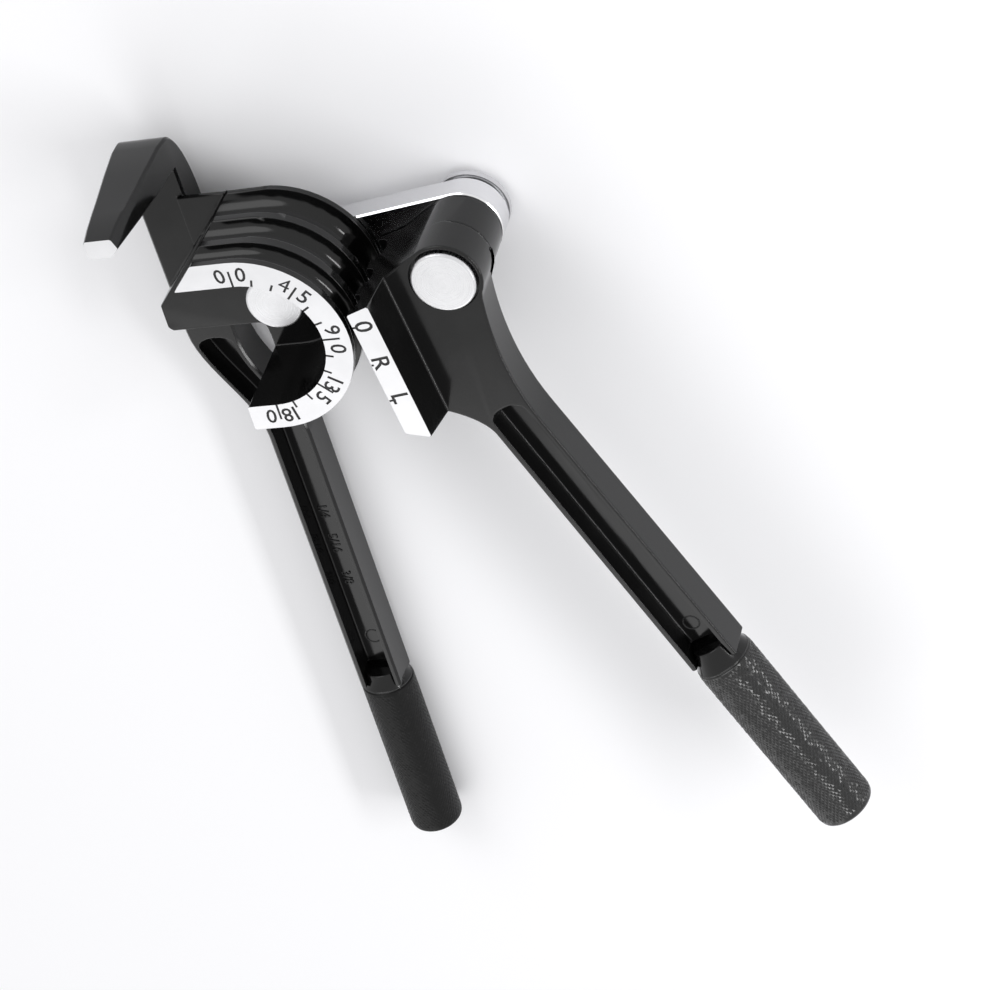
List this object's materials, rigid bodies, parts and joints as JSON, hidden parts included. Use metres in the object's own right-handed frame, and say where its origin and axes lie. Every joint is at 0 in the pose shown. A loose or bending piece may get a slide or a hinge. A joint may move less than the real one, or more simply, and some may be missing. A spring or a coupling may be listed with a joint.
{
  "type": "tube bender",
  "caption": "Hand tube bender with a grooved half wheel and dial, tube hook, hinged link bar, sliding shoe and knurled handle grips.",
  "frame": {"origin": "on the wheel's axis, at the far end face of the centre pin", "axes": "+Z along the wheel's axis towards the dial, +Y from the wheel's centre towards the dial's 0 mark, away from the forming handle's grip, +X to the right of the dial"},
  "size_m": [0.1474, 0.2279, 0.0501],
  "materials": {
    "gloss_black": "gloss black enamel",
    "grip_black": "satin black, fine diamond knurl",
    "chrome_plate": "bright plated",
    "bright_steel": "bright satin"
  },
  "bodies": {
    "forming_handle": {"forming_casting": "gloss_black", "forming_grip": "grip_black", "centre_pin": "bright_steel", "centre_washer": "bright_steel", "centre_collar": "bright_steel"},
    "link": {"link_bar": "chrome_plate"},
    "slide_handle": {"slide_casting": "gloss_black", "slide_grip": "grip_black", "slide_pin": "bright_steel", "slide_washer": "bright_steel", "slide_collar": "bright_steel"}
  },
  "joints": [
    {"name": "link_swing", "type": "hinge", "parent": "forming_handle", "child": "link", "pos_m": [0, 0, 0], "axis": [0, 0, 1], "range_deg": [-97.5, 82.5]},
    {"name": "slide_swing", "type": "hinge", "parent": "link", "child": "slide_handle", "pos_m": [0.0467, 0.00615, 0], "axis": [0, 0, 1], "range_deg": [-10, 100]}
  ]
}
